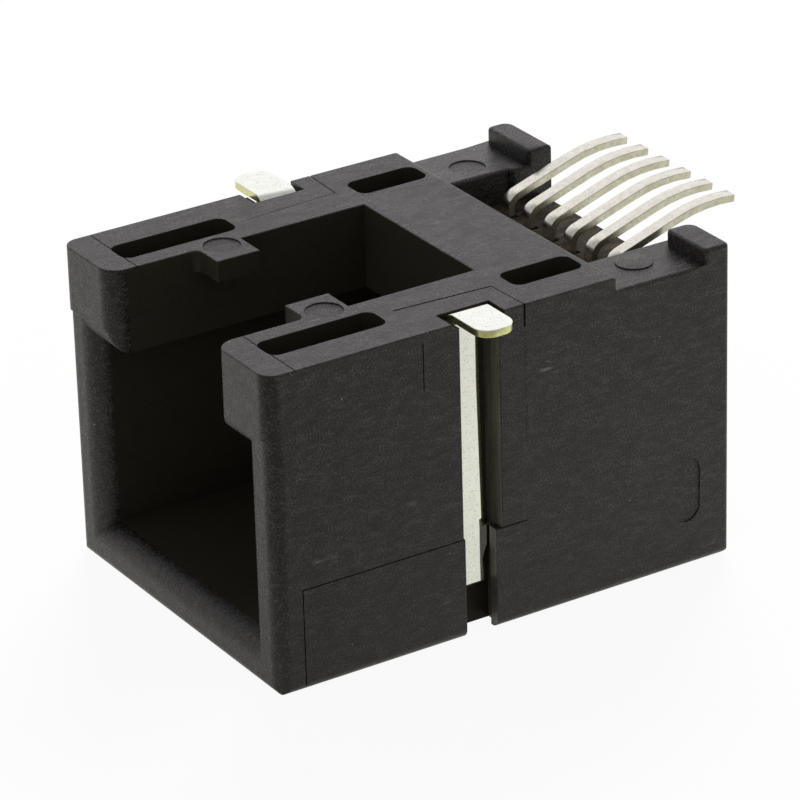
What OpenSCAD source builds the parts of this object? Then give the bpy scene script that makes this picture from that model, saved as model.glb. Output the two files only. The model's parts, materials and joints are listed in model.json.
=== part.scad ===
// Six-way modular jack for surface mounting, lying on its flat cover face with the board side up.
// The mouth for the plug faces -Y and the solder tails leave at +Y.

/* [Housing] */
// Width across the two sides
body_w = 13.3; // [12.9:0.1:16]
// Length from the mouth to the rear
body_l = 18; // [17.7:0.1:21]
// Height from the flat face to the board side
body_h = 11.56; // [11.3:0.02:13]
// Radius of the upright corners beside the mouth
corner_r = 0.55; // [0.3:0.05:0.7]
// Radius of the right upright corner at the rear
rear_corner_r = 0.2; // [0.1:0.05:0.5]
// Radius of the edges round the flat face
edge_r = 0.35; // [0.15:0.05:0.5]
// How far the ears stand proud of the mouth's face
ear_proud = 0.08; // [0.03:0.01:0.15]

/* [Plug cavity] */
// Width of the space for the plug
cavity_w = 9.86; // [9.7:0.02:10.2]
// Height of the space for the plug
cavity_h = 6.93; // [6.7:0.01:7.1]
// Thickness of the block behind the space for the plug
rear_block_l = 4.18; // [3.9:0.02:4.5]
// Thickness of the floor under the plug
floor_t = 1.55; // [1.45:0.01:1.7]
// Radius of the lead-in round the mouth
lead_r = 0.75; // [0.4:0.05:0.9]

/* [Latch opening] */
// Width of the opening for the plug's latch
latch_w = 6.8; // [6.4:0.1:7.4]
// Length of that opening from the mouth
latch_l = 9.92; // [9.2:0.02:10.3]
// Radius of the two ears' inner corners at the mouth
ear_r = 0.7; // [0.4:0.05:0.85]
// Clear width between the two catches that hold the latch
catch_gap = 4.3; // [4.2:0.05:5]
// Distance from the mouth to the catches
catch_y = 3.37; // [2.8:0.01:3.9]
// Length of a catch along the plug
catch_l = 1.67; // [1.3:0.01:2]
// Height of a catch below the board side
catch_h = 0.78; // [0.5:0.02:1.2]
// Radius of the hollow where a catch's front leaves the wall
catch_root_r = 0.3; // [0.1:0.02:0.5]

/* [Core slots] */
// Width of the slots that core out the board side
slot_w = 1.2; // [0.8:0.05:1.3]
// Radius of their corners
slot_r = 0.36; // [0.2:0.02:0.5]
// Depth of the slots
slot_depth = 2.1; // [1:0.1:2.2]
// Distance from the housing's side to a slot
slot_inset = 1.32; // [1.2:0.01:1.6]
// Distance from the mouth to the front slots
front_slot_y = 0.98; // [0.7:0.01:1.4]
// Length of the front slots
front_slot_l = 4.42; // [3.4:0.01:4.6]
// Solid length between the latch opening and the rear slots
rear_slot_gap = 0.4; // [0.3:0.05:0.7]
// Length of the rear slots
rear_slot_l = 2.74; // [1.6:0.02:2.8]

/* [Rear end] */
// Length of the bridge behind the latch opening
bridge_l = 3.5; // [3.3:0.05:3.8]
// Drop from the board side to the two rear ledges
ledge_drop = 0.5; // [0.3:0.05:0.8]
// Depth of the rear pocket below the board side
pocket_depth = 1.75; // [1.4:0.05:2.1]
// Room between the outer tails and the pocket's sides
pocket_margin = 0.7; // [0.4:0.05:1]
// Length of the left corner post
left_post_l = 0.93; // [0.6:0.01:1.1]
// Length of the right corner post
right_post_l = 1.04; // [0.7:0.01:1.2]
// Radius of the posts' outer corners above the ledges
post_r = 0.2; // [0.1:0.02:0.3]
// Radius of the left post's rear corner and the right post's inner rear corner
post_rear_r = 0.4; // [0.2:0.02:0.5]
// Height of the posts above the board side
post_rise = 0.05; // [0:0.01:0.06]
// How far the left post laps into the pocket
left_post_lap = 0.18; // [0.05:0.01:0.3]
// How far the right post stands back from the pocket
right_post_gap = 0.32; // [0.05:0.01:0.5]
// Length of the pilaster that carries the left post's lap
pilaster_l = 1.68; // [1.3:0.02:1.9]
// Setback of the comb between the posts
comb_setback = 0.38; // [0.1:0.02:0.6]

/* [Contacts] */
// Spacing of the solder tails
tail_pitch = 1.27; // [1.2:0.01:1.4]
// Spacing of the contact beams in the cavity
beam_pitch = 1.016; // [0.98:0.002:1.1]
// Width of the contact strip
contact_w = 0.5; // [0.35:0.01:0.55]
// Thickness of the contact strip
contact_t = 0.27; // [0.2:0.01:0.32]
// Distance from the rear to the middle of the upright legs
leg_inset = 2.36; // [2.2:0.02:2.5]
// Height of the tails' soles above the board side
tail_proud = 0.09; // [0:0.01:0.15]
// Slope of the tails where they leave the pocket
tail_slope = 18; // [14:0.5:20]
// Length of the sloping stretch
tail_ramp_l = 2.33; // [2:0.01:2.6]
// Radius of the curved soles
tail_sole_r = 5.66; // [4:0.02:7]
// Angle by which the tips turn down
tail_tip_angle = 6.5; // [3:0.5:10]
// Radius of the bend above each leg, at mid-thickness
tail_bend_r = 0.44; // [0.3:0.02:0.6]
// Radius of the bend below each leg, at mid-thickness
heel_bend_r = 0.5; // [0.3:0.02:0.7]
// Radius of the turn at the front of each contact, at mid-thickness
toe_bend_r = 0.5; // [0.4:0.02:0.6]
// Radius of the curve between beam and guided end, at mid-thickness
knee_bend_r = 2; // [1:0.1:3]
// Distance from the mouth to the front of the contacts
contact_front = 5.5; // [5.3:0.1:6]
// Angle at which the beams rise into the cavity
beam_angle = 22; // [20:0.5:26]
// Height of the guided ends above the cavity floor, at mid-thickness
guide_h = 2.39; // [2.2:0.01:2.5]
// Length of the guided ends inside the comb
guide_seat = 0.3; // [0.2:0.05:0.6]
// Room above the guided ends in the comb
guide_play = 0.32; // [0.1:0.02:0.5]
// Plastic left under the contacts
skin_t = 0.7; // [0.5:0.02:0.9]
// Distance from the pocket's floor down to the sideways step in the legs
step_drop = 1.5; // [1.2:0.1:2]
// Length of the sideways step in the legs
step_l = 2; // [1.5:0.1:2.6]
// Clearance on each side of a contact
contact_fit = 0.08; // [0.04:0.01:0.1]

/* [Fitting nails] */
// Distance from the mouth to the middle of the nails
nail_y = 7.95; // [7.3:0.05:8.3]
// Thickness of the nails
nail_t = 0.27; // [0.2:0.01:0.32]
// Width of a nail's leg
nail_leg_w = 1.12; // [0.9:0.02:1.2]
// Width of a nail's solder foot
nail_foot_w = 1.5; // [1.3:0.02:1.6]
// Reach of the foot beyond the housing's side
nail_reach = 1.3; // [1:0.05:1.8]
// Radius of the foot's outer corners
nail_foot_r = 0.58; // [0.3:0.02:0.64]
// Radius of the bend between leg and foot, at mid-thickness
nail_bend_r = 0.335; // [0.26:0.01:0.4]
// Height of the leg's lower end above the flat face
nail_end_z = 1.61; // [1.1:0.01:2.1]
// Length of the barbs that hold the leg
barb_l = 0.8; // [0.5:0.05:1]
// Depth of the grooves for the nails
groove_depth = 0.93; // [0.8:0.01:1]
// Height of the lips that keep the leg in its groove
groove_step_z = 3.71; // [3.1:0.01:4.3]
// Thickness of the lips
lip_t = 0.43; // [0.3:0.01:0.5]
// Clear width between the lips
lip_gap = 1.21; // [1:0.01:1.3]
// How far that gap stands off the nail's middle, towards the mouth
lip_shift = 0.06; // [0:0.01:0.1]
// Clearance between barb and groove on each side
barb_fit = 0.02; // [0.01:0.01:0.04]
// Clearance beside the foot in the groove
foot_fit = 0.03; // [0.02:0.01:0.08]
// Extra length of the recess under the foot at each end
recess_margin = 0.24; // [0.1:0.02:0.3]
// Gap between the foot and its recess
recess_gap = 0.07; // [0.04:0.01:0.12]

/* [Mould marks] */
// Radius of the ejector pins' prints
pin_r = 0.65; // [0.4:0.05:0.7]
// Depth of the prints and of the blank oval on the side
print_depth = 0.04; // [0.02:0.01:0.06]
// How far the prints on the catches reach past the catches' roots
catch_pin_lap = 0.5; // [0.3:0.05:0.6]
// Distance from the housing's side to the middle of the prints on the ledges
ledge_pin_inset = 1.6; // [1.2:0.05:1.75]
// Distance from the rear to the middle of those prints
ledge_pin_gap = 2.79; // [2.2:0.01:3.4]
// Height of the blank oval
oval_h = 2.4; // [1.6:0.1:2.6]
// Width of the blank oval
oval_w = 1.1; // [0.7:0.05:1.2]
// Distance from the rear to the middle of the oval
oval_inset = 1.78; // [1.2:0.02:2.2]
// Height of the oval's middle above the flat face
oval_z = 2.93; // [2:0.01:4]

/* [Hidden] */
$fn = 64;

contact_count = 6;
over = 1;
arc_step = 7.5;
shoulder_z = floor_t + cavity_h;
cavity_l = body_l - rear_block_l;
ear_z = shoulder_z + lead_r;
bridge_end = latch_l + bridge_l;
ledge_z = body_h - ledge_drop;
post_z = body_h + post_rise;
left_post_y = body_l - left_post_l;
right_post_y = body_l - right_post_l;
pocket_z = body_h - pocket_depth;
pocket_w = (contact_count - 1) * tail_pitch + contact_w + 2 * pocket_margin;
solder_z = body_h + tail_proud;

leg_y = body_l - leg_inset;
run_z = skin_t + contact_t / 2;
step_top_z = pocket_z - step_drop;
step_low_z = step_top_z - step_l;
step_lap = contact_w;
channel_w = contact_w + 2 * contact_fit;

// Tail, from the leg to the tip
tail_bend_a = 90 - tail_slope;
tail_climb = tail_bend_r * sin(tail_bend_a) + tail_ramp_l * sin(tail_slope)
    + tail_sole_r * (1 - cos(tail_slope));
tail_bend_z = solder_z - contact_t / 2 - tail_climb;

// Beam, from the toe to the guided end
toe_y = contact_front + contact_t / 2 + toe_bend_r;
beam_start_y = toe_y - toe_bend_r * sin(beam_angle);
beam_start_z = run_z + toe_bend_r * (1 + cos(beam_angle));
guide_z = floor_t + guide_h;
beam_l = (guide_z - beam_start_z - knee_bend_r * (1 - cos(beam_angle))) / sin(beam_angle);
guide_start_y = beam_start_y + beam_l * cos(beam_angle) + knee_bend_r * sin(beam_angle);
guide_end_y = cavity_l + guide_seat;
slit_top_z = guide_z + contact_t / 2 + guide_play;

nail_x = body_w / 2 - groove_depth + nail_t / 2;
foot_z = solder_z - nail_t / 2;
recess_z = solder_z - nail_t - recess_gap;
groove_w = nail_foot_w + 2 * foot_fit;

catch_pin_x = latch_w / 2 + catch_pin_lap - pin_r;
ledge_pin_x = body_w / 2 - ledge_pin_inset;

// Place of contact k across the jack, counted from the left
function tail_x(k) = (k - (contact_count + 1) / 2) * tail_pitch;
function beam_x(k) = (k - (contact_count + 1) / 2) * beam_pitch;

// Mid-line of a bent strip: points [y, z, heading] along steps of [length, bend radius, bend angle]
function walk(p, steps, i = 0) =
    i == len(steps) ? [p] :
    let (q = ahead(p, steps[i][0]), r = steps[i][1], a = steps[i][2], n = ceil(abs(a) / arc_step))
    concat([p], [for (j = [0:1:n - 1]) turned(q, r, a * j / n)], walk(turned(q, r, a), steps, i + 1));
function ahead(p, d) = [p[0] + d * cos(p[2]), p[1] + d * sin(p[2]), p[2]];
function turned(p, r, a) =
    p + sign(a) * r * [sin(p[2] + a) - sin(p[2]), cos(p[2]) - cos(p[2] + a), 0] + [0, 0, a];
function beside(p, d) = [p[0] - d * sin(p[2]), p[1] + d * cos(p[2])];

// The frame's origin is the middle of the flat face; the modules below measure y from the mouth
module placed() {
    translate([0, -body_l / 2, 0]) children();
}

// Outline drawn in y and z, made a solid of width w about the middle plane
module across(w) {
    rotate([90, 0, 90]) linear_extrude(w, center = true) children();
}

module round_rect(w, l, r) {
    translate([r, 0]) square([w - 2 * r, l]);
    translate([0, r]) square([w, l - 2 * r]);
    for (x = [r, w - r], y = [r, l - r]) translate([x, y]) circle(r);
}

// What rounding takes off a corner at the origin, with the solid towards +x and +y
module corner_cut(r) {
    difference() {
        square(r);
        translate([r, r]) circle(r);
    }
}

// Opening of width w that starts at the origin's line and flares there by radius r
module flared(w, l, r) {
    translate([-w / 2, -over]) square([w, l + over]);
    for (side = [0, 1]) mirror([side, 0]) translate([w / 2, 0]) corner_cut(r);
}

// Solid in y and z between the two faces of a bent strip that starts at [y, z, heading]
module strip(start, steps, t) {
    middle = walk(start, steps);
    polygon(concat([for (p = middle) beside(p, t / 2)],
                   [for (i = [len(middle) - 1:-1:0]) beside(middle[i], -t / 2)]));
}

// Strip of width w that runs upright from z0 to z1 and steps sideways from x0 to x1 on the way
module stepped(x0, x1, w, z0, z1) {
    polygon([[x0 - w / 2, z0], [x0 + w / 2, z0], [x0 + w / 2, step_low_z], [x1 + w / 2, step_top_z],
             [x1 + w / 2, z1], [x1 - w / 2, z1], [x1 - w / 2, step_top_z], [x0 - w / 2, step_low_z]]);
}

module side_outline() {
    difference() {
        union() {
            round_rect(body_l, post_z + 2 * edge_r, edge_r);
            translate([-ear_proud, ear_z]) square([latch_l, body_h - ear_z]);
        }
        translate([-over, body_h]) square([bridge_end + over, over + edge_r]);
        translate([0, post_z]) square([body_l + over, over + edge_r]);
    }
}

// Outline from above, with its front moved out by a step
module plan(step) {
    translate([-body_w / 2, 0]) difference() {
        intersection() {
            translate([0, -step]) round_rect(body_w, body_l + step + over, corner_r);
            translate([0, -over]) round_rect(body_w, body_l + over, rear_corner_r);
        }
        translate([0, body_l]) mirror([0, 1]) corner_cut(post_rear_r);
    }
}

module blank() {
    intersection() {
        union() {
            linear_extrude(post_z) plan(0);
            translate([0, 0, ear_z]) linear_extrude(post_z - ear_z) plan(ear_proud);
        }
        across(body_w + over) side_outline();
        rotate([90, 0, 0]) linear_extrude(2 * (body_l + over), center = true)
            translate([-body_w / 2, 0]) round_rect(body_w, post_z + 2 * edge_r, edge_r);
    }
}

module plug_cavity() {
    intersection() {
        linear_extrude(body_h) flared(cavity_w, cavity_l, lead_r);
        rotate([0, -90, 0]) linear_extrude(body_w, center = true)
            translate([(floor_t + shoulder_z) / 2, 0]) flared(cavity_h, cavity_l, lead_r);
    }
}

module latch_opening() {
    difference() {
        translate([0, -ear_proud, shoulder_z - over]) linear_extrude(body_h)
            flared(latch_w, latch_l + ear_proud, ear_r);
        for (side = [0, 1]) mirror([side, 0, 0])
            translate([0, catch_y, body_h - catch_h]) linear_extrude(catch_h) {
                translate([catch_gap / 2, 0]) square([latch_w, catch_l]);
                translate([latch_w / 2, 0]) rotate(180) corner_cut(catch_root_r);
            }
    }
}

module core_slots() {
    for (side = [0, 1]) mirror([side, 0, 0])
        translate([body_w / 2 - slot_inset - slot_w, 0, body_h - slot_depth]) linear_extrude(body_h) {
            translate([0, front_slot_y]) round_rect(slot_w, front_slot_l, slot_r);
            translate([0, latch_l + rear_slot_gap]) round_rect(slot_w, rear_slot_l, slot_r);
        }
}

// Space above the two rear ledges, from the bridge to the corner posts
module ledges() {
    for (post = [[0, right_post_y], [1, left_post_y]]) mirror([post[0], 0, 0])
        translate([0, 0, ledge_z]) linear_extrude(body_h) {
            translate([0, bridge_end]) square([body_w, post[1] - bridge_end]);
            translate([body_w / 2, post[1]]) mirror([1, 0]) corner_cut(post_r);
        }
}

module rear_pocket() {
    lap_x = -pocket_w / 2 + left_post_lap;
    open_w = pocket_w - left_post_lap;
    translate([0, 0, pocket_z]) linear_extrude(body_h) difference() {
        translate([-pocket_w / 2, bridge_end]) square([pocket_w, body_l]);
        translate([lap_x - body_w, body_l - pilaster_l]) difference() {
            square([body_w, body_l]);
            translate([body_w, 0]) mirror([1, 0]) corner_cut(left_post_lap);
        }
    }
    translate([lap_x, body_l - comb_setback, -over]) cube([open_w, body_l, body_h + 2 * over]);
    translate([lap_x, 0, ledge_z]) linear_extrude(body_h) {
        translate([0, bridge_end]) square([open_w + right_post_gap, body_l]);
        translate([open_w + right_post_gap, body_l]) mirror([0, 1]) corner_cut(post_rear_r);
    }
}

// Groove under the floor, slit in the cavity's rear wall and channel in the comb for contact k
module contact_way(k) {
    x = beam_x(k) - channel_w / 2;
    front_y = contact_front - contact_fit;
    channel_y = leg_y - contact_t / 2;
    back_y = leg_y + contact_t / 2 + contact_fit;
    translate([x, front_y, skin_t]) cube([channel_w, back_y - front_y, floor_t]);
    translate([x, cavity_l - over, skin_t]) cube([channel_w, back_y - cavity_l + over, slit_top_z - skin_t]);
    translate([0, channel_y, 0]) rotate([90, 0, 0]) mirror([0, 0, 1]) linear_extrude(back_y - channel_y)
        stepped(beam_x(k), tail_x(k), channel_w, skin_t, body_h);
}

// Groove for a nail's leg, with lips over its lower end and a recess under the foot
module nail_groove() {
    recess_w = groove_w + 2 * recess_margin;
    translate([body_w / 2 - groove_depth, nail_y, 0]) {
        translate([0, -groove_w / 2, -over]) cube([groove_depth - lip_t, groove_w, body_h]);
        translate([0, -groove_w / 2, groove_step_z]) cube([body_w, groove_w, body_h]);
        translate([0, -lip_gap / 2 - lip_shift, -over]) cube([body_w, lip_gap, body_h]);
        translate([0, -recess_w / 2, recess_z]) cube([body_w, recess_w, body_h]);
    }
}

module mould_prints() {
    for (side = [0, 1]) mirror([side, 0, 0]) {
        translate([catch_pin_x, catch_y + catch_l / 2, body_h - print_depth]) cylinder(over, r = pin_r);
    }
    translate([-ledge_pin_x, body_l - ledge_pin_gap, ledge_z - print_depth]) cylinder(over, r = pin_r);
    translate([body_w / 2 - print_depth, body_l - oval_inset, oval_z])
        rotate([90, 0, 90]) linear_extrude(over) {
            square([oval_w, oval_h - oval_w], center = true);
            for (end = [-1, 1]) translate([0, end * (oval_h - oval_w) / 2]) circle(oval_w / 2);
        }
}

// The right ledge's pin stood low in the mould, so its print stands up
module raised_print() {
    translate([ledge_pin_x, body_l - ledge_pin_gap, ledge_z - over]) cylinder(over + print_depth, r = pin_r);
}

module housing() {
    color("#2c2a2b") placed() {
        difference() {
            blank();
            plug_cavity();
            latch_opening();
            core_slots();
            ledges();
            rear_pocket();
            for (k = [1:contact_count]) contact_way(k);
            for (side = [0, 1]) mirror([side, 0, 0]) nail_groove();
            mould_prints();
        }
        raised_print();
    }
}

// One stamped and bent strip: solder tail, leg with its sideways step, run under the floor, spring beam
module contact(k) {
    tail = [[tail_bend_z - step_top_z, tail_bend_r, -tail_bend_a],
            [tail_ramp_l, tail_sole_r, -(tail_slope + tail_tip_angle)]];
    beam = [[step_low_z - run_z - heel_bend_r, heel_bend_r, -90],
            [leg_y - heel_bend_r - toe_y, toe_bend_r, -(180 - beam_angle)],
            [beam_l, knee_bend_r, -beam_angle],
            [guide_end_y - guide_start_y, 0, 0]];
    color("#cdc9be") placed() union() {
        translate([tail_x(k), 0, 0]) across(contact_w) strip([leg_y, step_top_z, 90], tail, contact_t);
        translate([0, leg_y, 0]) rotate([90, 0, 0]) linear_extrude(contact_t, center = true)
            stepped(beam_x(k), tail_x(k), contact_w, step_low_z - step_lap, step_top_z + step_lap);
        translate([beam_x(k), 0, 0]) across(contact_w) strip([leg_y, step_low_z, -90], beam, contact_t);
    }
}

// One stamped and bent plate: a barbed leg in the side groove and a solder foot bent out over the side
module nail() {
    leg_top = foot_z - nail_bend_r;
    foot_l = body_w / 2 + nail_reach - nail_x - nail_bend_r;
    barb_w = groove_w - 2 * barb_fit;
    translate([nail_x - nail_t / 2, nail_y, 0]) rotate([90, 0, 90]) linear_extrude(nail_t) {
        translate([-nail_leg_w / 2, nail_end_z]) square([nail_leg_w, leg_top - nail_end_z]);
        polygon([[-barb_w / 2, groove_step_z], [barb_w / 2, groove_step_z],
                 [nail_leg_w / 2, groove_step_z - barb_l], [-nail_leg_w / 2, groove_step_z - barb_l]]);
    }
    intersection() {
        translate([0, nail_y, 0]) rotate([90, 0, 0]) linear_extrude(nail_foot_w, center = true)
            strip([nail_x, leg_top - nail_t, 90], [[nail_t, nail_bend_r, -90], [foot_l, 0, 0]], nail_t);
        translate([body_w / 2 + nail_reach, nail_y - nail_foot_w / 2, leg_top - over])
            linear_extrude(body_h) mirror([1, 0]) round_rect(body_w / 2, nail_foot_w, nail_foot_r);
    }
}

module left_fitting_nail() {
    color("#dfe2da") placed() mirror([1, 0, 0]) nail();
}

module right_fitting_nail() {
    color("#dfe2da") placed() nail();
}

housing();
contact(1);  // contact_1
contact(2);  // contact_2
contact(3);  // contact_3
contact(4);  // contact_4
contact(5);  // contact_5
contact(6);  // contact_6
left_fitting_nail();
right_fitting_nail();
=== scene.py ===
"""Looks of a six-way surface-mount modular jack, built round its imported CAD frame."""

import json
import logging
import math
from dataclasses import dataclass, field
from enum import Enum
from typing import Any, Callable

import bpy
from mathutils import Matrix, Vector

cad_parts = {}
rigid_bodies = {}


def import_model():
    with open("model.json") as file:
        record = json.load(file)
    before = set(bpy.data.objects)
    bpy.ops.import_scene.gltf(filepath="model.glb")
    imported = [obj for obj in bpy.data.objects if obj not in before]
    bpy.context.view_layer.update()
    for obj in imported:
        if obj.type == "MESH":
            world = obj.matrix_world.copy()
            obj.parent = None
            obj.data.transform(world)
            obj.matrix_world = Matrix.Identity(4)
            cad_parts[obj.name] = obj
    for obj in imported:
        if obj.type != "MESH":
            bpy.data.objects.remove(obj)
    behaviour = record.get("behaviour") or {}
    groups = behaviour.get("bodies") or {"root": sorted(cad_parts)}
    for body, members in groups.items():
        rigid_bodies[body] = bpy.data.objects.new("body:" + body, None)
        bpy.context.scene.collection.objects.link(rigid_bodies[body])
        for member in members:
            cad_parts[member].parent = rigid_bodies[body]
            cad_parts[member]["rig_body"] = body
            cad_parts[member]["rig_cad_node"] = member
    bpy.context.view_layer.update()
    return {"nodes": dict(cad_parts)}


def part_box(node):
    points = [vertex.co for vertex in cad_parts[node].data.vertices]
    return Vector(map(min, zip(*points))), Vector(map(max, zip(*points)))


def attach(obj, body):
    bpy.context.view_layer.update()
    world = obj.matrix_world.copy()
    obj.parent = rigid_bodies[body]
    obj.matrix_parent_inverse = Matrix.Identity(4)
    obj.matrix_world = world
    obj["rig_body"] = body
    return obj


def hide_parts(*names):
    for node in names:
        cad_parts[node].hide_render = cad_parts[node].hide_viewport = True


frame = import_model()

LOG = logging.getLogger("modular_jack")
MM = 0.001
BODY = "root"
ACROSS, ALONG, UP = Vector((1.0, 0.0, 0.0)), Vector((0.0, 1.0, 0.0)), Vector((0.0, 0.0, 1.0))
WHITE = (1.0, 1.0, 1.0, 1.0)
# Angles above which an edge is sharp, and below which two faces are one
SHARP_ANGLE, FLAT_ANGLE = math.radians(30), math.radians(0.5)
# Distances in mm within which places count as the same, closely and roughly
NEAR, BESIDE = 0.02, 0.05
# Distance in mm within which vertices are merged
MERGE = 0.001
# Cosines above which a face looks straight, or mostly, along a direction
STRAIGHT, MOSTLY = 0.9, 0.7
# Middle of Blender's noise, and the range that most of it fills
NOISE_MIDDLE, NOISE_SPREAD = 0.5, (0.3, 0.7)

Pair = tuple[float, float]
Triple = tuple[float, float, float]
FaceTest = Callable[[bpy.types.MeshPolygon], bool]


class Side(Enum):
    """The two sides of the jack, with the mouth towards the viewer."""

    LEFT = -1
    RIGHT = 1


class Slot(Enum):
    """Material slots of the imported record."""

    MOULDING = "black_moulding"
    CONTACT = "tinned_contact"
    NAIL = "bright_tin"


class Skin(Enum):
    """Parts of the moulding's surface, numbered as its finishes are."""

    OUTER = 0
    CORE = 1
    COMB = 2
    GROOVE = 3
    LEDGE = 4


class Strip(Enum):
    """Parts of a stamped strip's surface, numbered as its finishes are."""

    PLATED = 0
    SHEARED = 1
    STAINED = 2


def box_mm(node: str) -> tuple[Triple, Triple]:
    """Measures a CAD node to the micrometre.

    Args:
        node: The CAD node's name.

    Returns:
        Its lowest and highest corners in mm.
    """
    low, high = (tuple(round(value / MM, 3) for value in corner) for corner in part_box(node))
    return low, high


HOUSING_LOW, HOUSING_HIGH = box_mm("housing")
NAIL_LOW, NAIL_HIGH = box_mm("right_fitting_nail")


def linear(hex_colour: str) -> tuple[float, float, float, float]:
    """Turns an sRGB hex colour into linear light.

    Args:
        hex_colour: Colour such as "#1c1b1a".

    Returns:
        Linear red, green, blue and an alpha of 1.
    """
    parts = [int(hex_colour[i:i + 2], 16) / 255 for i in (1, 3, 5)]
    red, green, blue = (c / 12.92 if c <= 0.04045 else ((c + 0.055) / 1.055) ** 2.4 for c in parts)
    return red, green, blue, 1.0


def add_node(tree: bpy.types.NodeTree, kind: str, values: dict[Any, Any] | None = None,
             links: dict[Any, bpy.types.NodeSocket] | None = None, **settings: Any) -> bpy.types.Node:
    """Adds one shader node with its settings, socket values and links.

    Args:
        tree: Node tree that takes the node.
        kind: Node type, such as "ShaderNodeTexNoise".
        values: Input socket name or number to its value.
        links: Input socket name or number to the output that feeds it.
        settings: The node's own properties.

    Returns:
        The new node.
    """
    node = tree.nodes.new(kind)
    for name, value in settings.items():
        setattr(node, name, value)
    for key, value in (values or {}).items():
        node.inputs[key].default_value = value
    for key, source in (links or {}).items():
        tree.links.new(source, node.inputs[key])
    return node


def new_material(name: str) -> tuple[bpy.types.Material, bpy.types.NodeTree]:
    """Makes an empty node material.

    Args:
        name: The material's name.

    Returns:
        The material and its node tree.
    """
    material = bpy.data.materials.new(name)
    material.use_nodes = True
    material.node_tree.nodes.clear()
    return material, material.node_tree


def select_only(piece: bpy.types.Object) -> None:
    """Makes one object the whole selection and the active object.

    Args:
        piece: The object to select.
    """
    bpy.ops.object.select_all(action="DESELECT")
    piece.select_set(True)
    bpy.context.view_layer.objects.active = piece


def edit_faces(piece: bpy.types.Object, wanted: FaceTest) -> None:
    """Opens a piece in edit mode with some of its faces selected.

    Args:
        piece: The piece to open.
        wanted: Tells whether a face is selected.
    """
    select_only(piece)
    bpy.ops.object.mode_set(mode="EDIT")
    bpy.ops.mesh.select_mode(type="FACE")
    bpy.ops.mesh.select_all(action="DESELECT")
    bpy.ops.object.mode_set(mode="OBJECT")
    for face in piece.data.polygons:
        face.select = wanted(face)
    bpy.ops.object.mode_set(mode="EDIT")


def shift_faces(piece: bpy.types.Object, offset_mm: Vector, wanted: FaceTest) -> None:
    """Moves some of a piece's faces and stretches those that join them.

    Args:
        piece: The piece to change.
        offset_mm: How far the faces move.
        wanted: Tells whether a face moves.
    """
    edit_faces(piece, wanted)
    bpy.ops.transform.translate(value=offset_mm * MM)
    bpy.ops.object.mode_set(mode="OBJECT")


def merged_copy(node: str, name: str, cuts: tuple[tuple[Vector, float], ...] = ()) -> bpy.types.Object:
    """Copies a CAD node as a new piece, with its loose triangles merged into clean flat faces.

    Args:
        node: The CAD node's name.
        name: The new piece's name.
        cuts: Planes, each a normal and a distance in mm, that part faces with holes in them.

    Returns:
        The new piece, at the origin.
    """
    select_only(frame["nodes"][node])
    bpy.ops.object.duplicate()
    piece = bpy.context.view_layer.objects.active
    bpy.ops.object.parent_clear(type="CLEAR")
    piece.name = piece.data.name = name
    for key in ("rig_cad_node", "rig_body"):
        if key in piece:
            del piece[key]
    piece.data.materials.clear()
    bpy.ops.mesh.customdata_custom_splitnormals_clear()
    bpy.ops.object.mode_set(mode="EDIT")
    bpy.ops.mesh.select_all(action="SELECT")
    bpy.ops.mesh.remove_doubles(threshold=MERGE * MM)
    bpy.ops.mesh.dissolve_limited(angle_limit=FLAT_ANGLE)
    for normal, distance in cuts:
        bpy.ops.mesh.select_all(action="SELECT")
        bpy.ops.mesh.bisect(plane_co=normal * distance * MM, plane_no=normal)
        bpy.ops.mesh.mark_seam()
    bpy.ops.mesh.select_all(action="SELECT")
    bpy.ops.mesh.dissolve_limited(angle_limit=FLAT_ANGLE, delimit={"SEAM"})
    bpy.ops.mesh.mark_seam(clear=True)
    bpy.ops.object.mode_set(mode="OBJECT")
    return piece


def soften_edges(piece: bpy.types.Object, largest_mm: float, facets: int,
                 width_mm: Callable[[Vector], float]) -> None:
    """Rounds the sharp outer edges of a piece; inner corners stay sharp, as the mould or die leaves them.

    Args:
        piece: The piece to round.
        largest_mm: Width of the largest rounding.
        facets: Facets across each rounding.
        width_mm: Gives the rounding's width for an edge with its middle at a place in mm.
    """
    mesh = piece.data
    flanks: dict[tuple[int, int], list[tuple[Vector, Vector]]] = {}
    for face in mesh.polygons:
        corners = list(face.vertices)
        for start, end in zip(corners, corners[1:] + corners[:1]):
            inward = face.normal.cross(mesh.vertices[end].co - mesh.vertices[start].co)
            flanks.setdefault((min(start, end), max(start, end)), []).append((face.normal.copy(), inward))
    weights = mesh.attributes.new("bevel_weight_edge", "FLOAT", "EDGE")
    for edge, weight in zip(mesh.edges, weights.data):
        (normal, _), (other, inward) = flanks[edge.key]
        if normal.angle(other) > SHARP_ANGLE and normal.dot(inward) < 0:
            start, end = (mesh.vertices[i].co for i in edge.vertices)
            weight.value = width_mm((start + end) / (2 * MM)) / largest_mm
    select_only(piece)
    soft = piece.modifiers.new("soft_edges", "BEVEL")
    soft.width = largest_mm * MM
    soft.segments = facets
    soft.limit_method = "WEIGHT"
    soft.use_clamp_overlap = False
    bpy.ops.object.modifier_apply(modifier=soft.name)


def shade(piece: bpy.types.Object) -> None:
    """Shades a piece smooth over its roundings and keeps its flat faces flat.

    Args:
        piece: The piece to shade.
    """
    select_only(piece)
    bpy.ops.object.shade_smooth_by_angle(angle=SHARP_ANGLE)
    flat = piece.modifiers.new("flat_faces", "WEIGHTED_NORMAL")
    flat.keep_sharp = True
    bpy.ops.object.modifier_apply(modifier=flat.name)


@dataclass(frozen=True)
class Line:
    """A fine straight line on a flat face, with the face's normal; sizes in mm."""

    start: Triple
    end: Triple
    face: Vector
    width: float = 0.04
    depth: float = 0.07


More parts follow.
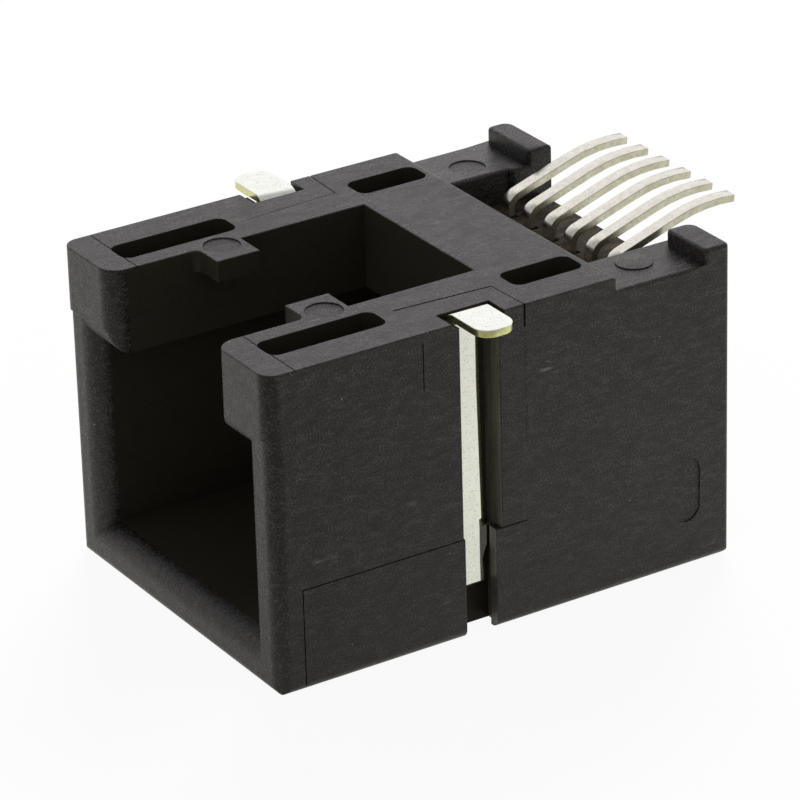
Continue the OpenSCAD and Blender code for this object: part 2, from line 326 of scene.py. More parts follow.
def engrave(piece: bpy.types.Object, lines: list[Line]) -> None:
    """Cuts fine slots into a piece's surface.

    Args:
        piece: The piece to cut.
        lines: The slots' lines, which don't touch each other.
    """
    bpy.ops.object.select_all(action="DESELECT")
    blades = []
    for line in lines:
        start, end = Vector(line.start), Vector(line.end)
        along = (end - start).normalized()
        turn = Matrix((along, line.face.cross(along), line.face)).transposed()
        bpy.ops.mesh.primitive_cube_add(size=1.0, location=(start + end) * MM / 2, rotation=turn.to_euler())
        blade = bpy.context.view_layer.objects.active
        blade.scale = Vector(((end - start).length, line.width, 2 * line.depth)) * MM
        blades.append(blade)
    for blade in blades:
        blade.select_set(True)
    bpy.ops.object.join()
    cutter = bpy.context.view_layer.objects.active
    select_only(piece)
    cut = piece.modifiers.new("witness_lines", "BOOLEAN")
    cut.object = cutter
    cut.operation = "DIFFERENCE"
    cut.solver = "EXACT"
    bpy.ops.object.modifier_apply(modifier=cut.name)
    # The cut can drop a sliver beside a rounding, so the seam is closed again
    edit_faces(piece, lambda face: True)
    bpy.ops.mesh.fill_holes(sides=4)
    bpy.ops.mesh.normals_make_consistent(inside=False)
    bpy.ops.object.mode_set(mode="OBJECT")
    select_only(cutter)
    bpy.ops.object.delete()


def settle(piece: bpy.types.Object, node: str) -> None:
    """Lets a finished piece ride on the jack and stand for its CAD node.

    Args:
        piece: The finished piece.
        node: CAD node that it stands for.
    """
    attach(piece, BODY)
    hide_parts(node)


@dataclass(frozen=True)
class MouldedBlack:
    """Glass-filled polyamide, injection moulded: nearly black below a satin skin that mirrors the white
    table softly, with a fine flinty speckle where glass lies near the surface, hair scratches and dust."""

    name: str = "textured_polyamide"
    resin: str = "#0b0a08"
    glass: str = "#615b57"
    dust: str = "#c9c5bd"
    roughness: Pair = (0.2, 0.34)
    ior: float = 1.45
    gloss: float = 0.5
    # The real grain is about 0.03 mm; it is drawn coarser so that it shows at this picture's scale
    grain_mm: float = 0.07
    grain_depth_mm: float = 0.03
    mottle_mm: float = 0.22
    flow_mm: float = 0.45
    flow_scale: Triple = (1.0, 0.4, 1.0)
    glass_share: Pair = (0.71, 1.06)
    patchiness: float = 0.45
    scratch_mm: float = 0.5
    scratch_turn: Triple = (0.6, 0.35, 0.9)
    scratch_draw: Triple = (1.0, 0.07, 1.0)
    scratch_width: float = 0.006
    scratch_patch_mm: float = 1.0
    scratch_patch: Pair = (0.58, 0.75)
    scratch_share: float = 0.2
    dust_gap_mm: float = 0.7
    dust_r_mm: float = 0.024

    def material(self) -> bpy.types.Material:
        """Builds the node material.

        Returns:
            The finished material.
        """
        material, tree = new_material(self.name)
        place = add_node(tree, "ShaderNodeTexCoord").outputs["Object"]
        # Speckle: glass shines through the resin in grains, denser in some patches than in others
        grain = add_node(tree, "ShaderNodeTexNoise",
                         {"Scale": 1 / (self.grain_mm * MM), "Detail": 3.0, "Roughness": 0.75},
                         {"Vector": place})
        # Flow: the melt ran the way the jack is long and drew out the patches and the streaks in the sheen
        drawn = add_node(tree, "ShaderNodeMapping", {"Scale": self.flow_scale}, {"Vector": place}).outputs[0]
        mottle = add_node(tree, "ShaderNodeTexNoise",
                          {"Scale": 1 / (self.mottle_mm * MM), "Detail": 4.0, "Roughness": 0.65},
                          {"Vector": drawn})
        flow = add_node(tree, "ShaderNodeTexNoise",
                        {"Scale": 1 / (self.flow_mm * MM), "Detail": 5.0, "Roughness": 0.6},
                        {"Vector": drawn})
        fleck = add_node(tree, "ShaderNodeMath", {1: self.patchiness},
                         {0: mottle.outputs["Fac"], 2: grain.outputs["Fac"]}, operation="MULTIPLY_ADD")
        speckle = add_node(tree, "ShaderNodeMapRange",
                           {"From Min": self.glass_share[0], "From Max": self.glass_share[1]},
                           {"Value": fleck.outputs[0]})
        tone = add_node(tree, "ShaderNodeMix", {6: linear(self.resin), 7: linear(self.glass)},
                        {0: speckle.outputs["Result"]}, data_type="RGBA")
        scuffed = add_node(tree, "ShaderNodeMix", {7: linear(self.dust)},
                           {0: self.scuffs(tree, place), 6: tone.outputs[2]}, data_type="RGBA")
        sheen = add_node(tree, "ShaderNodeMapRange",
                         {"From Min": NOISE_SPREAD[0], "From Max": NOISE_SPREAD[1],
                          "To Min": self.roughness[0], "To Max": self.roughness[1]},
                         {"Value": flow.outputs["Fac"]})
        relief = add_node(tree, "ShaderNodeBump", {"Strength": 1.0, "Distance": self.grain_depth_mm * MM},
                          {"Height": fleck.outputs[0]})
        skin = add_node(tree, "ShaderNodeBsdfPrincipled", {"IOR": self.ior, "Specular IOR Level": self.gloss},
                        {"Base Color": scuffed.outputs[2], "Roughness": sheen.outputs["Result"],
                         "Normal": relief.outputs["Normal"]})
        add_node(tree, "ShaderNodeOutputMaterial", links={"Surface": skin.outputs["BSDF"]})
        return material

    def scuffs(self, tree: bpy.types.NodeTree, place: bpy.types.NodeSocket) -> bpy.types.NodeSocket:
        """Adds the hair scratches and the specks of dust that catch the light.

        Args:
            tree: The material's node tree.
            place: Object coordinates.

        Returns:
            The share of dust grey at each place.
        """
        drawn = add_node(tree, "ShaderNodeMapping",
                         {"Rotation": self.scratch_turn, "Scale": self.scratch_draw}, {"Vector": place})
        swirl = add_node(tree, "ShaderNodeTexNoise", {"Scale": 1 / (self.scratch_mm * MM), "Detail": 1.0},
                         {"Vector": drawn.outputs[0]})
        # A scratch runs wherever the drawn-out noise crosses its middle
        level = add_node(tree, "ShaderNodeMath", {1: NOISE_MIDDLE}, {0: swirl.outputs["Fac"]},
                         operation="SUBTRACT")
        ridge = add_node(tree, "ShaderNodeMath", links={0: level.outputs[0]}, operation="ABSOLUTE")
        hair = add_node(tree, "ShaderNodeMapRange",
                        {"From Min": 0.0, "From Max": self.scratch_width, "To Min": 1.0, "To Max": 0.0},
                        {"Value": ridge.outputs[0]})
        patch = add_node(tree, "ShaderNodeTexNoise",
                         {"Scale": 1 / (self.scratch_patch_mm * MM), "Detail": 2.0}, {"Vector": place})
        here = add_node(tree, "ShaderNodeMapRange",
                        {"From Min": self.scratch_patch[0], "From Max": self.scratch_patch[1],
                         "To Max": self.scratch_share}, {"Value": patch.outputs["Fac"]})
        scratch = add_node(tree, "ShaderNodeMath",
                           links={0: hair.outputs["Result"], 1: here.outputs["Result"]}, operation="MULTIPLY")
        cells = add_node(tree, "ShaderNodeTexVoronoi", {"Scale": 1 / (self.dust_gap_mm * MM)},
                         {"Vector": place})
        reach = self.dust_r_mm / self.dust_gap_mm
        speck = add_node(tree, "ShaderNodeMapRange",
                         {"From Min": reach / 2, "From Max": reach, "To Min": 1.0, "To Max": 0.0},
                         {"Value": cells.outputs["Distance"]})
        return add_node(tree, "ShaderNodeMath", links={0: scratch.outputs[0], 1: speck.outputs["Result"]},
                        operation="MAXIMUM").outputs[0]


# Formed by the mould's textured wall: the satin black with its speckle
OUTER_BLACK = MouldedBlack()
# Formed by the smooth core of the mould: a dull black, so that the cavity sinks back; its base is a lighter
# brown than the outer resin, a painted lift that holds the shaded cavity at an even dark brown
CORE_BLACK = MouldedBlack("core_side_polyamide", "#292620", "#38342b", roughness=(0.3, 0.38), gloss=0.12,
                          grain_depth_mm=0.003, glass_share=(0.4, 1.0), scratch_share=0.0, dust_r_mm=0.004)
# On the nail grooves' front and rear walls: a brownish grey, lighter than the outer skin, drawn into upright
# streaks
GROOVE_WALL_BLACK = MouldedBlack("scraped_polyamide", "#2a2722", "#756f62", roughness=(0.3, 0.5),
                             grain_depth_mm=0.004, mottle_mm=0.12, flow_scale=(1.0, 1.0, 0.04),
                             glass_share=(0.9, 1.9), patchiness=2.0, scratch_share=0.0, dust_r_mm=0.004)
# Formed by a polished insert: the outer black, with a clearer mirror of the white room
LEDGE_BLACK = MouldedBlack("polished_polyamide", roughness=(0.1, 0.2), grain_depth_mm=0.02)
# Dull between and under the contact tails: a matte black with brown blotches, a painted reflection of the
# tails above it
TAIL_REFLECTION_BLACK = MouldedBlack("stained_polyamide", "#120e0a", "#79644d", roughness=(0.5, 0.7), mottle_mm=0.3,
                             glass_share=(1.0, 1.6), patchiness=1.2)


@dataclass(frozen=True)
class TinPlate:
    """Tin plating on a rolled strip: a bright grey metal, cloudy in places, with fine pits."""

    name: str
    metal: str
    cloud: str
    pit: str
    roughness: Pair
    cloud_mm: float = 0.25
    cloud_spread: Pair = (0.35, 0.65)
    # The real pits are about 0.02 mm apart; they are drawn coarser so that they show at this picture's scale
    pit_gap_mm: float = 0.11
    pit_r_mm: float = 0.028
    pit_share: float = 0.6

    def material(self) -> bpy.types.Material:
        """Builds the node material.

        Returns:
            The finished material.
        """
        material, tree = new_material(self.name)
        place = add_node(tree, "ShaderNodeTexCoord").outputs["Object"]
        cloud = add_node(tree, "ShaderNodeTexNoise",
                         {"Scale": 1 / (self.cloud_mm * MM), "Detail": 5.0, "Roughness": 0.7},
                         {"Vector": place})
        clouded = add_node(tree, "ShaderNodeMapRange",
                           {"From Min": self.cloud_spread[0], "From Max": self.cloud_spread[1]},
                           {"Value": cloud.outputs["Fac"]})
        tone = add_node(tree, "ShaderNodeMix", {6: linear(self.metal), 7: linear(self.cloud)},
                        {0: clouded.outputs["Result"]}, data_type="RGBA")
        cells = add_node(tree, "ShaderNodeTexVoronoi", {"Scale": 1 / (self.pit_gap_mm * MM)},
                         {"Vector": place})
        reach = self.pit_r_mm / self.pit_gap_mm
        pits = add_node(tree, "ShaderNodeMapRange",
                        {"From Min": reach / 2, "From Max": reach, "To Min": self.pit_share, "To Max": 0.0},
                        {"Value": cells.outputs["Distance"]})
        pitted = add_node(tree, "ShaderNodeMix", {7: linear(self.pit)},
                          {0: pits.outputs["Result"], 6: tone.outputs[2]}, data_type="RGBA")
        sheen = add_node(tree, "ShaderNodeMapRange",
                         {"To Min": self.roughness[0], "To Max": self.roughness[1]},
                         {"Value": cloud.outputs["Fac"]})
        plate = add_node(tree, "ShaderNodeBsdfPrincipled", {"Metallic": 1.0},
                         {"Base Color": pitted.outputs[2], "Roughness": sheen.outputs["Result"]})
        add_node(tree, "ShaderNodeOutputMaterial", links={"Surface": plate.outputs["BSDF"]})
        return material


# Matte tin on a rolled bronze strip: a soft silver with faint clouds
MATTE_TIN = TinPlate("matte_tin_on_bronze", "#efeee4", "#dedccf", "#b0ae9e", (0.17, 0.29))
# Bronze bared by the die's cut: darker and warmer, so that each strip shows its thickness
SHEARED_BRONZE = TinPlate("sheared_bronze_edge", "#dcdac9", "#c3c1aa", "#8f8d76", (0.2, 0.34))
# Bright tin on a brass strip: almost white, clear as a mirror, with sparse dark pits
BRIGHT_TIN = TinPlate("bright_tin_on_brass", "#fbfff8", "#f2f6ec", "#90917a", (0.04, 0.08), pit_share=0.5)
# Brass bared by the die's cut: a pale yellow rim round the white foot
SHEARED_BRASS = TinPlate("sheared_brass_edge", "#eef0b4", "#d9dc92", "#a8a868", (0.2, 0.34))
# Painted shade on the tin where it faces down into the bend under the foot: a dull olive that sets the foot
# off from the leg below it
PAINTED_SHADE_TIN = TinPlate("flux_stained_tin", "#5b5844", "#45422f", "#2f2d20", (0.4, 0.55))


@dataclass
class Housing:
    """The black moulding; sizes in mm."""

    half_width: float = HOUSING_HIGH[0]
    front_y: float = HOUSING_LOW[1]
    post_rise: float = 0.05
    top_z: float = HOUSING_HIGH[2] - post_rise
    # Roundings: plain edges, worn rear corners, the bridge's rear edge, slots, nail grooves, prints
    edge_r: float = 0.042
    worn_r: float = 0.12
    step_r: float = 0.2
    slot_r: float = 0.018
    groove_r: float = 0.065
    print_edge_r: float = 0.01
    edge_facets: int = 3
    # Ears beside the mouth
    ear_step_z: float = 9.23
    ear_rear_y: float = -8.3
    ear_flat_x: float = 6.0
    ear_proud: float = 0.08
    # Core slots in the side walls' tops
    slot_x: float = 4.73
    slot_half: float = 0.6
    slot_y: Pair = (-8.1, 4.1)
    # Round prints on catches and ledges, and the blank oval on the right side
    catch_print: Pair = (3.25, -4.795)
    ledge_print: Pair = (5.05, 6.21)
    print_r: float = 0.65
    print_depth: float = 0.04
    oval_y: float = 7.22
    oval_half: float = 0.6
    oval_top_z: float = 4.2
    # Bridge, ledges and comb; what lies above upper_z belongs to the board side
    bridge_end: float = 4.42
    upper_z: float = 10.9
    ledge_z: Pair = (10.8, 11.46)
    comb_x: float = 4.4
    # Inside of the mould's core, and the ways that it leaves for the contacts
    core_x: float = 5.4
    core_low_z: float = 0.5
    ways_x: float = 4.6
    ways_front_y: float = -8.0
    ways_top_z: float = 9.5
    # Nail grooves, with the recess for the foot above and the lips below
    groove_x: float = NAIL_LOW[0] - NEAR
    groove_mid_y: float = (NAIL_LOW[1] + NAIL_HIGH[1]) / 2
    groove_half: float = 0.8
    groove_front_y: float = -1.83
    groove_shift: float = 0.07
    groove_top_z: float = 10.5
    lip_z: float = 3.71
    recess_half: float = 1.2
    recess_z: float = 11.31
    recess_lift: float = 0.064
    # Witness lines: across the ears, from the rear slots out to the sides, and on the sides
    line_past: float = 0.1
    ear_line_y: float = -7.98
    latch_x: float = 3.3
    slot_cap: float = 0.37
    rear_slot: Pair = (4.6, -3.0)
    insert_corner: Pair = (4.83, 0.66)
    insert_width: dict[Side, float] = field(default_factory=lambda: {Side.LEFT: 0.03, Side.RIGHT: 0.07})
    insert_depth: float = 0.08
    insert_y: float = 0.75
    notch_z: float = 10.75
    notch_width: float = 0.08
    trace_z: Pair = (10.6, 6.6)
    trace_width: float = 0.03
    trace_depth: float = 0.006
    flank_y: float = -8.0
    flank_low_z: float = 0.2
    flank_gap_y: Pair = (-1.6, -0.5)
    upright_y: float = -3.18
    upright_z: Pair = (9.5, 11.2)
    piece: bpy.types.Object | None = None

    def build(self) -> None:
        """Models the moulding with softened edges and the fine lines where its mould's inserts met."""
        columns = (self.slot_x, self.catch_print[0], self.ledge_print[0])
        cuts = [(ACROSS, side.value * x) for side in Side for x in columns]
        cuts += [(ALONG, self.oval_y), (ALONG, self.bridge_end)]
        self.piece = merged_copy("housing", "moulded_housing", tuple(cuts))
        shift_faces(self.piece, UP * self.recess_lift, self.is_recess_floor)
        shift_faces(self.piece, ALONG * self.groove_shift, self.is_groove_front)
        soften_edges(self.piece, self.step_r, self.edge_facets, self.edge_width)
        for lines in self.witness_lines():
            engrave(self.piece, lines)
        shade(self.piece)

    def is_recess_floor(self, face: bpy.types.MeshPolygon) -> bool:
        """Tells whether a nail's foot lies over a face."""
        x, _, z = face.center / MM
        return face.normal.z > STRAIGHT and abs(x) > self.groove_x and abs(z - self.recess_z) < NEAR

    def is_groove_front(self, face: bpy.types.MeshPolygon) -> bool:
        """Tells whether a face is the front wall of a nail's groove."""
        x, y, _ = face.center / MM
        return face.normal.y > STRAIGHT and abs(x) > self.groove_x and abs(y - self.groove_front_y) < NEAR

    def edge_width(self, middle: Vector) -> float:
        """Gives the width of an edge's rounding.

        Args:
            middle: The edge's middle in mm.

        Returns:
            A wide one on the worn rear corners, a narrow one on prints, slots and grooves, and none where the
            ears' step runs out.
        """
        x, y, z = abs(middle.x), middle.y, middle.z
        if abs(z - self.ear_step_z) < NEAR and y < self.ear_rear_y:
            return self.edge_r if x < self.ear_flat_x and y < self.front_y + self.ear_proud else 0.0
        for place in (self.catch_print, self.ledge_print):
            if math.hypot(x - place[0], y - place[1]) < self.print_r + NEAR and z > self.upper_z:
                return self.print_edge_r
        on_right = middle.x > self.half_width - self.print_depth - NEAR
        if on_right and abs(y - self.oval_y) < self.oval_half and z < self.oval_top_z:
            return self.print_edge_r
        on_top = z > self.top_z - NEAR
        if on_top and abs(x - self.slot_x) < self.slot_half + NEAR and self.slot_y[0] < y < self.slot_y[1]:
            return self.slot_r
        if abs(y - self.groove_mid_y) < self.recess_half and x > self.groove_x:
            rim = x > self.half_width - BESIDE and self.lip_z < z < self.groove_top_z
            return self.groove_r if rim else self.slot_r
        if x < self.ways_x and y > self.ways_front_y and z < self.ways_top_z:
            return self.print_edge_r
        if on_top and abs(y - self.bridge_end) < BESIDE:
            return self.step_r
        if y > self.bridge_end - BESIDE and z > self.upper_z:
            return self.worn_r
        return self.edge_r

    def witness_lines(self) -> tuple[list[Line], list[Line]]:
        """Lists the lines where the mould's inserts met.

        Returns:
            Two lists of lines; those in one list don't touch each other.
        """
        first, second = [], []
        top, lip = self.top_z, self.lip_z
        ear_y, flank_y, insert_y, upright_y = self.ear_line_y, self.flank_y, self.insert_y, self.upright_y
        for side in Side:
            sign, outward = side.value, ACROSS * side.value
            wall, past = sign * self.half_width, sign * (self.half_width + self.line_past)
            slot_near, slot_far = (sign * (self.slot_x + reach) for reach in (-self.slot_cap, self.slot_cap))
            rear_slot = (sign * self.rear_slot[0], self.rear_slot[1], top)
            corner = (sign * self.insert_corner[0], self.insert_corner[1], top)
            first += [
                Line((sign * self.latch_x, ear_y, top), (slot_near, ear_y, top), UP),
                Line((slot_far, ear_y, top), (past, ear_y, top), UP),
                Line(rear_slot, corner, UP, self.insert_width[side], self.insert_depth),
                Line((wall, insert_y, top + self.line_past), (wall, insert_y, self.notch_z), outward,
                     self.notch_width),
                Line((wall, flank_y, lip), (wall, self.flank_gap_y[0], lip), outward),
                Line((wall, upright_y, self.upright_z[0]), (wall, upright_y, self.upright_z[1]), outward)]
            second += [
                Line(corner, (past, insert_y, top), UP),
                Line((wall, self.flank_gap_y[1], lip), (wall, insert_y, lip), outward),
                Line((wall, insert_y, self.trace_z[0]), (wall, insert_y, self.trace_z[1]), outward,
                     self.trace_width, self.trace_depth),
                Line((wall, flank_y, lip), (wall, flank_y, self.flank_low_z), outward)]
        return first, second

    def skin(self, place: Vector, normal: Vector) -> Skin:
        """Picks the part of the surface that a face belongs to.

        Args:
            place: The face's middle in mm.
            normal: The face's normal.

        Returns:
            The comb's floor, a groove's wall, a ledge, the core's side or the outer skin.
        """
        x, y, z = abs(place.x), place.y, place.z
        before_step = y < self.bridge_end - BESIDE
        board_side = normal.z > MOSTLY and z > self.upper_z
        if x < self.comb_x and not before_step and z < self.upper_z and normal.z > MOSTLY:
            return Skin.COMB
        in_groove = self.groove_x < x < self.half_width - NEAR and z < self.recess_z
        if in_groove and abs(y - self.groove_mid_y) < self.groove_half:
            return Skin.GROOVE if abs(normal.y) > MOSTLY else Skin.CORE
        if y > self.bridge_end and self.ledge_z[0] < z < self.ledge_z[1] and normal.z > STRAIGHT:
            return Skin.LEDGE
        inside = x < self.core_x and self.ear_rear_y < y and self.core_low_z < z < self.top_z - BESIDE
        return Skin.CORE if inside and before_step and not board_side else Skin.OUTER

    def dress(self) -> list[bpy.types.Object]:
        """Gives each part of the surface its own black; the comb's floor carries a painted reflection of the
        tails.

        Returns:
            The finished piece.
        """
        # The comb's floor takes the black with the tails' painted reflection
        finishes = {Skin.OUTER: OUTER_BLACK, Skin.CORE: CORE_BLACK, Skin.COMB: TAIL_REFLECTION_BLACK,
                    Skin.GROOVE: GROOVE_WALL_BLACK, Skin.LEDGE: LEDGE_BLACK}
        for skin in Skin:
            self.piece.data.materials.append(finishes[skin].material())
        for face in self.piece.data.polygons:
            face.material_index = self.skin(face.center / MM, face.normal).value
        settle(self.piece, "housing")
        return [self.piece]


@dataclass
class Contacts:
    """The six stamped and bent contact strips; sizes in mm."""

    count: int = 6
    edge_r: float = 0.035
    edge_facets: int = 2
    # Cosine to the side above which a face was sheared
    sheared_turn: float = 0.8
    pieces: list[bpy.types.Object] = field(default_factory=list)

    def build(self) -> None:
        """Models the strips with softened edges."""
        for number in range(1, self.count + 1):
            strip = merged_copy(f"contact_{number}", f"contact_strip_{number}")
            soften_edges(strip, self.edge_r, self.edge_facets, lambda middle: self.edge_r)
            shade(strip)
            self.pieces.append(strip)

    def dress(self) -> list[bpy.types.Object]:
        """Plates the rolled faces and leaves the sheared edges bare.

        Returns:
            The finished pieces.
        """
        finishes = [finish.material() for finish in (MATTE_TIN, SHEARED_BRONZE)]
        for number, strip in enumerate(self.pieces, 1):
            for finish in finishes:
                strip.data.materials.append(finish)
            for face in strip.data.polygons:
                part = Strip.SHEARED if abs(face.normal.x) > self.sheared_turn else Strip.PLATED
                face.material_index = part.value
            settle(strip, f"contact_{number}")
        return self.pieces


@dataclass
class FittingNails:
    """The two stamped solder nails; sizes in mm."""

    # Roundings: plain edges, the leg's rolled rear edge, its tapered end
    edge_r: float = 0.03
    roll_r: float = 0.2
    end_r: float = 0.09
    edge_facets: int = 4
    # Foot, with the coined line in its sole
    foot_x: float = 7.3
    sole_z: float = NAIL_HIGH[2] - edge_r
    coin_inset: float = 0.27
    coin_width: float = 0.03
    coin_depth: float = 0.013
    # Leg, moved in from the CAD's front and rear, with its end sprung out behind the lips
    leg_x: float = 5.9
    leg_top_z: float = 10.9
    front_y: float = -1.25
    front_shift: float = 0.07
    rear_y: float = -0.49
    rear_shift: float = -0.08
    spring_z: Pair = (3.8, 9.0)
    spring: float = 0.15
    end_z: float = NAIL_LOW[2]
    # Cosines above which a face was sheared, or faces down into the bend
    sheared_turn: float = 0.35
    bend_turn: float = 0.04
    pieces: dict[Side, bpy.types.Object] = field(default_factory=dict)

    def build(self) -> None:
        """Models the nails, with the leg's end sprung out, a coined foot and softened edges."""
        for side in Side:
            name = side.name.lower()
            cuts = tuple((UP, z) for z in self.spring_z)
            nail = merged_copy(f"{name}_fitting_nail", f"{name}_solder_nail", cuts)
            shift_faces(nail, ALONG * self.front_shift, lambda face: face.center.y < self.front_y * MM)
            shift_faces(nail, ALONG * self.rear_shift, self.is_leg_rear)
            shift_faces(nail, ACROSS * side.value * self.spring,
                        lambda face: face.center.z < self.spring_z[0] * MM)
            soften_edges(nail, self.roll_r, self.edge_facets, self.edge_width)
            self.coin(nail)
            shade(nail)
            self.pieces[side] = nail

    def is_leg_rear(self, face: bpy.types.MeshPolygon) -> bool:
        """Tells whether a face is the leg's rear side."""
        return face.normal.y > STRAIGHT and abs(face.center.y / MM - self.rear_y) < NEAR

    def edge_width(self, middle: Vector) -> float:
        """Gives the width of an edge's rounding.

        Args:
            middle: The edge's middle in mm.

        Returns:
            A wide one where the die rolled the leg's rear edge over, one about half as wide at the leg's
            tapered end, and a narrow one elsewhere.
        """
        x, y, z = abs(middle.x), middle.y, middle.z
        if z < self.end_z + NEAR:
            return self.end_r
        rear = abs(y - self.rear_y - self.rear_shift) < NEAR and x > self.leg_x
        return self.roll_r if rear and z < self.leg_top_z else self.edge_r

    def coin(self, nail: bpy.types.Object) -> None:
        """Presses a shallow line round the middle of the foot's flat face, as its stamping tool leaves it.

        Args:
            nail: The nail to press.
        """
        level = (face for face in nail.data.polygons if face.normal.z > STRAIGHT)
        sole = max(level, key=lambda face: face.area).index
        edit_faces(nail, lambda face: face.index == sole)
        bpy.ops.mesh.inset(thickness=self.coin_inset * MM, depth=0.0)
        bpy.ops.mesh.inset(thickness=self.coin_width * MM, depth=-self.coin_depth * MM)
        bpy.ops.mesh.inset(thickness=self.coin_width * MM, depth=self.coin_depth * MM)
        bpy.ops.object.mode_set(mode="OBJECT")

    def part(self, place: Vector, normal: Vector) -> Strip:
        """Picks the part of the surface that a face belongs to.

        Args:
            place: The face's middle in mm.
            normal: The face's normal.

        Returns:
            The bend under the foot, which takes painted shade, a sheared edge or a plated face.
        """
        end = abs(place.x) > self.foot_x and abs(normal.z) < MOSTLY
        # Faces that look down into the bend under the foot take painted shade
        if not end and normal.z < -self.bend_turn:
            return Strip.STAINED
        edge = end or abs(normal.y) > self.sheared_turn
        return Strip.SHEARED if edge and place.z <= self.sole_z else Strip.PLATED

    def dress(self) -> list[bpy.types.Object]:
        """Plates the rolled faces, leaves the sheared edges bare and paints shade on the bend under the foot.

        Returns:
            The finished pieces.
        """
        finishes = [finish.material() for finish in (BRIGHT_TIN, SHEARED_BRASS, PAINTED_SHADE_TIN)]
        for side, nail in self.pieces.items():
            for finish in finishes:
                nail.data.materials.append(finish)
            for face in nail.data.polygons:
                face.material_index = self.part(face.center / MM, face.normal).value
            settle(nail, f"{side.name.lower()}_fitting_nail")
        return list(self.pieces.values())


@dataclass(frozen=True)
class Lamp:
    """One soft studio lamp, aimed at the jack."""

    name: str
    place_mm: Triple
    size_mm: float
    power: float


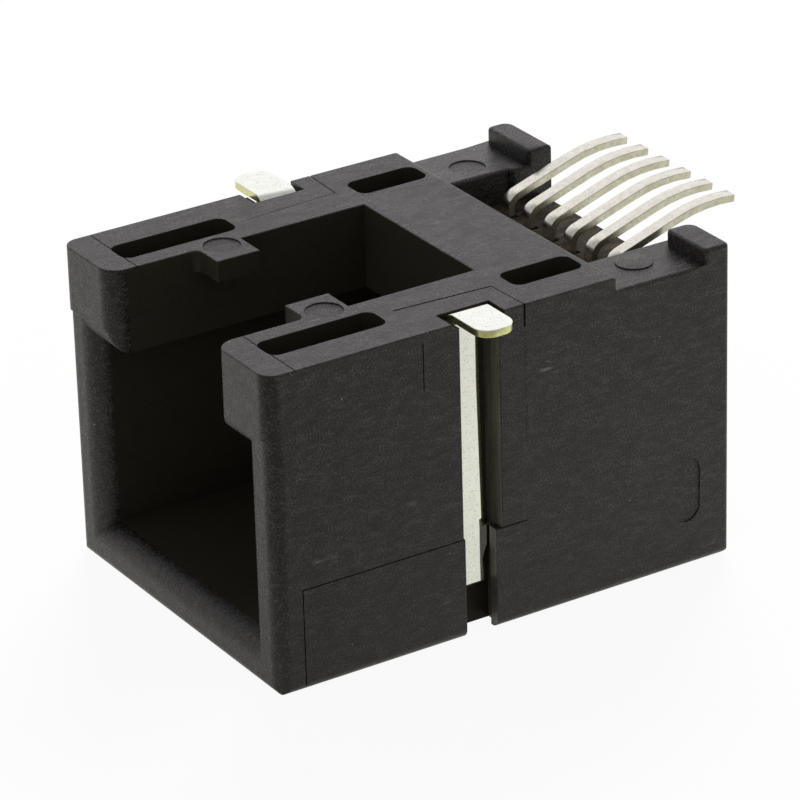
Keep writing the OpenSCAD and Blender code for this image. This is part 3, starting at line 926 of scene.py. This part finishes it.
@dataclass
class Studio:
    """Floor, lamps, white surroundings and camera."""

    floor_size: float = 4.0
    floor_colour: str = "#f4f4f2"
    # A hair below the base, so that the two faces don't fight
    floor_z_mm: float = -0.01
    # Shares of the paper's own light that the camera sees and that shiny faces mirror
    seen_share: float = 0.93
    mirrored_share: float = 0.85
    # The room is brightest to the back left, where the softbox hangs
    bright_side: Triple = (-0.7071, 0.7071, 0.0)
    floor_reach_mm: Pair = (-26.0, -1.0)
    floor_level: Pair = (0.3, 0.84)
    floor_tint: Triple = (1.0, 0.975, 0.915)
    room_reach: Pair = (0.2, 0.7)
    room_level: Pair = (0.44, 1.0)
    room_tint: Triple = (1.0, 0.97, 0.99)
    ambient: float = 0.4
    lamps: tuple[Lamp, ...] = (
        Lamp("key_softbox", (-220.0, 180.0, 220.0), 150.0, 1.3),
    )
    # Camera, worked out from the photograph's perspective
    sensor_mm: float = 36.0
    lens_mm: float = 217.365
    clip_m: Pair = (0.01, 20.0)
    camera_mm: Triple = (125.77, -78.27, 76.19)
    right: Triple = (0.53859, 0.84220, -0.02544)
    down: Triple = (0.34956, -0.25082, -0.90274)
    forward: Triple = (-0.76665, 0.47731, -0.42947)

    def build(self) -> None:
        """Builds the whole studio."""
        self.add_camera()
        self.add_floor()
        self.add_lamps()
        self.add_surroundings()
        bpy.context.scene.view_settings.view_transform = "Standard"

    def add_camera(self) -> None:
        """Places the camera at the photograph's viewing angle."""
        data = bpy.data.cameras.new("product_camera")
        data.sensor_width = self.sensor_mm
        data.lens = self.lens_mm
        data.clip_start, data.clip_end = self.clip_m
        camera = bpy.data.objects.new("product_camera", data)
        bpy.context.scene.collection.objects.link(camera)
        axes = Matrix((self.right, -Vector(self.down), -Vector(self.forward))).transposed().to_4x4()
        camera.matrix_world = Matrix.Translation(Vector(self.camera_mm) * MM) @ axes
        bpy.context.scene.camera = camera

    def shiny_rays(self, tree: bpy.types.NodeTree, rays: bpy.types.Node) -> bpy.types.NodeSocket:
        """Adds the test for reflected and refracted rays.

        Args:
            tree: Node tree that takes the node.
            rays: The tree's Light Path node.

        Returns:
            1 for reflected and refracted rays, 0 for others.
        """
        kinds = {0: rays.outputs["Is Glossy Ray"], 1: rays.outputs["Is Transmission Ray"]}
        return add_node(tree, "ShaderNodeMath", links=kinds, operation="MAXIMUM").outputs[0]

    def mirrored_light(self, tree: bpy.types.NodeTree, place: bpy.types.NodeSocket,
                       shiny: bpy.types.NodeSocket, reach: Pair, level: Pair,
                       tint: Triple) -> bpy.types.NodeSocket:
        """Adds the light of white surroundings, which falls off away from the softbox in reflections.

        Args:
            tree: Node tree that takes the nodes.
            place: Place or direction that the ray meets.
            shiny: 1 for reflected and refracted rays.
            reach: Distances along the bright side's direction at which the light starts and stops growing.
            level: Light levels at those distances.
            tint: Slight colour of the light in reflections.

        Returns:
            The light's colour: white to the camera, and graded in reflections.
        """
        along = add_node(tree, "ShaderNodeVectorMath", {1: self.bright_side}, {0: place},
                         operation="DOT_PRODUCT")
        graded = add_node(tree, "ShaderNodeMapRange",
                          {"From Min": reach[0], "From Max": reach[1],
                           "To Min": level[0], "To Max": level[1]},
                          {"Value": along.outputs["Value"]}, interpolation_type="SMOOTHSTEP")
        tinted = add_node(tree, "ShaderNodeVectorMath", {0: tint}, {"Scale": graded.outputs["Result"]},
                          operation="SCALE")
        return add_node(tree, "ShaderNodeMix", {6: WHITE}, {0: shiny, 7: tinted.outputs["Vector"]},
                        data_type="RGBA").outputs[2]

    def add_floor(self) -> None:
        """Lays the pale floor, which looks white to the camera and still takes the jack's shadow."""
        bpy.ops.object.select_all(action="DESELECT")
        bpy.ops.mesh.primitive_plane_add(size=self.floor_size, location=UP * self.floor_z_mm * MM)
        floor = bpy.context.view_layer.objects.active
        floor.name = "studio_floor"
        # Matte paper: a soft shadow and no mirror image
        material, tree = new_material("white_paper")
        rays = add_node(tree, "ShaderNodeLightPath")
        place = add_node(tree, "ShaderNodeTexCoord").outputs["Object"]
        paper = add_node(tree, "ShaderNodeBsdfDiffuse", {"Color": linear(self.floor_colour)})
        shiny = self.shiny_rays(tree, rays)
        light = self.mirrored_light(tree, place, shiny, tuple(mm * MM for mm in self.floor_reach_mm),
                                    self.floor_level, self.floor_tint)
        glow = add_node(tree, "ShaderNodeEmission", {"Strength": 1.0}, {"Color": light})
        seen = add_node(tree, "ShaderNodeMath", {1: self.seen_share}, {0: rays.outputs["Is Camera Ray"]},
                        operation="MULTIPLY")
        mirrored = add_node(tree, "ShaderNodeMath", {1: self.mirrored_share}, {0: shiny},
                            operation="MULTIPLY")
        share = add_node(tree, "ShaderNodeMath", links={0: seen.outputs[0], 1: mirrored.outputs[0]},
                         operation="MAXIMUM")
        blend = add_node(tree, "ShaderNodeMixShader",
                         links={0: share.outputs[0], 1: paper.outputs[0], 2: glow.outputs[0]})
        add_node(tree, "ShaderNodeOutputMaterial", links={"Surface": blend.outputs[0]})
        floor.data.materials.append(material)

    def add_lamps(self) -> None:
        """Hangs the softboxes."""
        for lamp in self.lamps:
            data = bpy.data.lights.new(lamp.name, "AREA")
            data.shape = "SQUARE"
            data.size = lamp.size_mm * MM
            data.energy = lamp.power
            holder = bpy.data.objects.new(lamp.name, data)
            bpy.context.scene.collection.objects.link(holder)
            holder.location = Vector(lamp.place_mm) * MM
            holder.rotation_euler = Vector(lamp.place_mm).to_track_quat("Z", "Y").to_euler()
            holder.visible_camera = False
            holder.visible_glossy = False

    def add_surroundings(self) -> None:
        """Makes the room white to the camera, graded in reflections and a plain level of light elsewhere."""
        world = bpy.data.worlds.new("white_room")
        bpy.context.scene.world = world
        world.use_nodes = True
        tree = world.node_tree
        tree.nodes.clear()
        rays = add_node(tree, "ShaderNodeLightPath")
        shiny = self.shiny_rays(tree, rays)
        white = add_node(tree, "ShaderNodeMath", links={0: rays.outputs["Is Camera Ray"], 1: shiny},
                         operation="MAXIMUM")
        outward = add_node(tree, "ShaderNodeTexCoord").outputs["Generated"]
        light = self.mirrored_light(tree, outward, shiny, self.room_reach, self.room_level, self.room_tint)
        dim = add_node(tree, "ShaderNodeBackground", {"Color": WHITE, "Strength": self.ambient})
        bright = add_node(tree, "ShaderNodeBackground", {"Strength": 1.0}, {"Color": light})
        blend = add_node(tree, "ShaderNodeMixShader",
                         links={0: white.outputs[0], 1: dim.outputs[0], 2: bright.outputs[0]})
        add_node(tree, "ShaderNodeOutputWorld", links={"Surface": blend.outputs[0]})


def main() -> None:
    """Builds the studio and the jack's pieces in order, and reports each piece."""
    logging.basicConfig(level=logging.INFO)
    Studio().build()
    for assembly in (Housing(), Contacts(), FittingNails()):
        assembly.build()
        for piece in assembly.dress():
            LOG.info("%s: %d faces", piece.name, len(piece.data.polygons))


if __name__ == "__main__":
    main()
